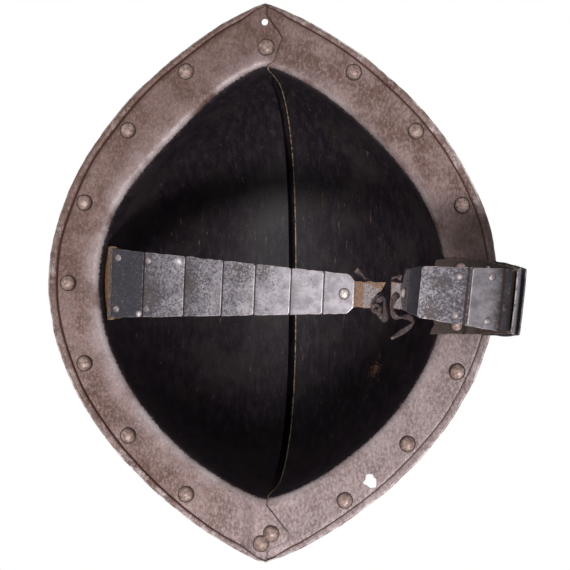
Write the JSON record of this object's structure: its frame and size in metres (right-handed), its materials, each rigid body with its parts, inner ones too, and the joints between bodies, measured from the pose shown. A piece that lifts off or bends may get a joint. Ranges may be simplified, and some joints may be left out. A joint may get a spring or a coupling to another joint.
{
  "type": "musketeer helmet",
  "caption": "Open iron helmet with a two-piece skull, low comb, wide brim drawn out to points, and a pair of articulated cheek straps tied with a leather lace.",
  "frame": {"origin": "middle of the head opening at the level where the brim's underside meets it", "axes": "+Z to the crown, -Y to the front point, +X to the right as seen from the front"},
  "size_m": [0.2834, 0.3342, 0.2625],
  "materials": {
    "patinated_iron": "brown-grey iron patina outside and under the brim, black paint in the bowl",
    "lame_steel": "mottled blue-grey steel, worn bright at the edges",
    "brim_rivets": "dull forged heads, rubbed bright on top",
    "small_rivets": "worn bright heads",
    "strap_leather": "tan hide with a dark flaking grain side",
    "old_leather": "dark dry hide, ragged at the cut ends",
    "lace": "twisted brown thong"
  },
  "bodies": {
    "helmet": {"skull_left": "patinated_iron", "skull_right": "patinated_iron", "brim_rivets": "brim_rivets", "front_seam_rivet": "brim_rivets", "rear_seam_rivets": "brim_rivets", "left_root_leather": "old_leather", "right_root_leather": "old_leather", "left_root_rivets": "brim_rivets", "right_root_rivets": "brim_rivets"},
    "left_link_1": {"left_lame_1": "lame_steel", "left_leather_1": "strap_leather", "left_lame_rivets_1": "small_rivets"},
    "left_link_2": {"left_lame_2": "lame_steel", "left_leather_2": "strap_leather", "left_lame_rivets_2": "small_rivets"},
    "left_link_3": {"left_lame_3": "lame_steel", "left_leather_3": "strap_leather", "left_lame_rivets_3": "small_rivets"},
    "left_link_4": {"left_lame_4": "lame_steel", "left_leather_4": "strap_leather", "left_lame_rivets_4": "small_rivets"},
    "left_link_5": {"left_lame_5": "lame_steel", "left_leather_5": "strap_leather", "left_lame_rivets_5": "small_rivets"},
    "left_link_6": {"left_lame_6": "lame_steel", "left_leather_6": "strap_leather", "left_lame_rivets_6": "small_rivets"},
    "left_link_7": {"left_lame_7": "lame_steel", "left_leather_7": "strap_leather", "left_lame_rivets_7": "small_rivets", "left_tip_rivet": "small_rivets"},
    "left_tie": {"left_tie_tab": "strap_leather", "left_lace": "lace"},
    "right_link_1": {"right_lame_1": "lame_steel", "right_leather_1": "strap_leather", "right_lame_rivets_1": "small_rivets"},
    "right_link_2": {"right_lame_2": "lame_steel", "right_leather_2": "strap_leather", "right_lame_rivets_2": "small_rivets"},
    "right_link_3": {"right_lame_3": "lame_steel", "right_leather_3": "strap_leather", "right_lame_rivets_3": "small_rivets"},
    "right_link_4": {"right_lame_4": "lame_steel", "right_leather_4": "strap_leather", "right_lame_rivets_4": "small_rivets"},
    "right_link_5": {"right_lame_5": "lame_steel", "right_leather_5": "strap_leather", "right_lame_rivets_5": "small_rivets"},
    "right_link_6": {"right_lame_6": "lame_steel", "right_leather_6": "strap_leather", "right_lame_rivets_6": "small_rivets"},
    "right_link_7": {"right_lame_7": "lame_steel", "right_leather_7": "strap_leather", "right_lame_rivets_7": "small_rivets", "right_tip_rivet": "small_rivets"},
    "right_tie": {"right_tie_tab": "strap_leather", "right_lace": "lace"}
  },
  "joints": [
    {"name": "left_root_flex", "type": "hinge", "parent": "helmet", "child": "left_link_1", "pos_m": [-0.0949, 0, 0], "axis": [-0.0436, 0.999, 0], "range_deg": [-20, 90]},
    {"name": "left_flex_2", "type": "hinge", "parent": "left_link_1", "child": "left_link_2", "pos_m": [-0.07788, 0.00074, -0.00239], "axis": [-0.0436, 0.999, 0], "range_deg": [-12, 2]},
    {"name": "left_flex_3", "type": "hinge", "parent": "left_link_2", "child": "left_link_3", "pos_m": [-0.05225, 0.00186, -0.006], "axis": [-0.0436, 0.999, 0], "range_deg": [-12, 2]},
    {"name": "left_flex_4", "type": "hinge", "parent": "left_link_3", "child": "left_link_4", "pos_m": [-0.0289, 0.00288, -0.00928], "axis": [-0.0436, 0.999, 0], "range_deg": [-12, 2]},
    {"name": "left_flex_5", "type": "hinge", "parent": "left_link_4", "child": "left_link_5", "pos_m": [-0.00911, 0.00375, -0.01207], "axis": [-0.0436, 0.999, 0], "range_deg": [-12, 2]},
    {"name": "left_flex_6", "type": "hinge", "parent": "left_link_5", "child": "left_link_6", "pos_m": [0.01246, 0.00469, -0.0151], "axis": [-0.0436, 0.999, 0], "range_deg": [-12, 2]},
    {"name": "left_flex_7", "type": "hinge", "parent": "left_link_6", "child": "left_link_7", "pos_m": [0.03195, 0.00554, -0.01784], "axis": [-0.0436, 0.999, 0], "range_deg": [-12, 2]},
    {"name": "left_tab_flex", "type": "hinge", "parent": "left_link_7", "child": "left_tie", "pos_m": [0.0554, 0.00656, -0.02114], "axis": [-0.0436, 0.999, 0], "range_deg": [-25, 25]},
    {"name": "right_root_flex", "type": "hinge", "parent": "helmet", "child": "right_link_1", "pos_m": [0.126, 0.0082, -0.0128], "axis": [-0.1045, 0.9945, 0], "range_deg": [-3.5, 42.7]},
    {"name": "right_flex_2", "type": "hinge", "parent": "right_link_1", "child": "right_link_2", "pos_m": [0.14044, 0.00972, -0.02893], "axis": [0.1045, -0.9945, 0], "range_deg": [-8, 34]},
    {"name": "right_flex_3", "type": "hinge", "parent": "right_link_2", "child": "right_link_3", "pos_m": [0.14407, 0.0101, -0.04961], "axis": [0.1045, -0.9945, 0], "range_deg": [-8, 22]},
    {"name": "right_flex_4", "type": "hinge", "parent": "right_link_3", "child": "right_link_4", "pos_m": [0.14044, 0.00972, -0.07029], "axis": [0.1045, -0.9945, 0], "range_deg": [-5, 61]},
    {"name": "right_flex_5", "type": "hinge", "parent": "right_link_4", "child": "right_link_5", "pos_m": [0.12317, 0.0079, -0.07695], "axis": [0.1045, -0.9945, 0], "range_deg": [-8, 23]},
    {"name": "right_flex_6", "type": "hinge", "parent": "right_link_5", "child": "right_link_6", "pos_m": [0.09831, 0.00529, -0.07695], "axis": [0.1045, -0.9945, 0], "range_deg": [-5, 76]},
    {"name": "right_flex_7", "type": "hinge", "parent": "right_link_6", "child": "right_link_7", "pos_m": [0.09296, 0.00473, -0.05821], "axis": [0.1045, -0.9945, 0], "range_deg": [-8, 3]},
    {"name": "right_tab_flex", "type": "hinge", "parent": "right_link_7", "child": "right_tie", "pos_m": [0.08485, 0.00387, -0.03741], "axis": [-0.1045, 0.9945, 0], "range_deg": [-5, 75]}
  ],
  "couplings": [
    {"joint": "right_root_flex", "follows": "right_flex_4", "ratio": 0.7}
  ]
}
